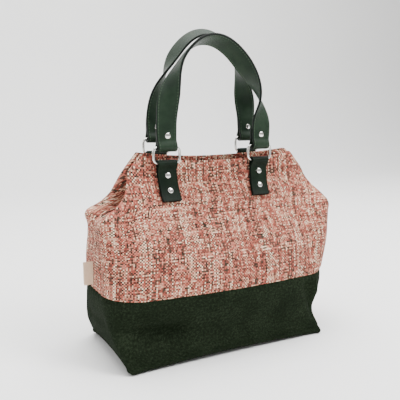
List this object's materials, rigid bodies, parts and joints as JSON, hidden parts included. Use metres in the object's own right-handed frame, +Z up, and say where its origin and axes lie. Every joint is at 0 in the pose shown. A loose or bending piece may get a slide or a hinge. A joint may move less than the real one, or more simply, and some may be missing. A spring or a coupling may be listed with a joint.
{
  "type": "handbag",
  "caption": "Tweed handbag with a dark green wool base, an open folded mouth, and strap handles hung from metal rings on riveted leather tabs.",
  "frame": {"origin": "on the ground, at the middle of the flat base between front and back", "axes": "+Z up to the handles, -Y out of the front panel, +X towards the right end as seen from the front"},
  "size_m": [0.3915, 0.1772, 0.4582],
  "materials": {
    "tweed": "coarse woven red, coral and cream tweed",
    "dark_wool": "dark green wool with a fine twill",
    "green_leather": "dark green smooth leather with sewn edges",
    "nickel": "polished nickel",
    "cream_ribbon": "plain woven cotton ribbon"
  },
  "bodies": {
    "root": {"wool_base": "dark_wool", "tweed_upper": "tweed", "side_label": "cream_ribbon", "handle_front": "green_leather", "handle_back": "green_leather", "tab_front_left": "green_leather", "tab_front_right": "green_leather", "tab_back_left": "green_leather", "tab_back_right": "green_leather", "ring_front_left": "nickel", "ring_front_right": "nickel", "ring_back_left": "nickel", "ring_back_right": "nickel", "rivet_front_left_upper": "nickel", "rivet_front_left_lower": "nickel", "rivet_front_right_upper": "nickel", "rivet_front_right_lower": "nickel", "rivet_back_left_upper": "nickel", "rivet_back_left_lower": "nickel", "rivet_back_right_upper": "nickel", "rivet_back_right_lower": "nickel", "rivet_handle_front_left": "nickel", "rivet_handle_front_right": "nickel", "rivet_handle_back_left": "nickel", "rivet_handle_back_right": "nickel"}
  },
  "joints": []
}
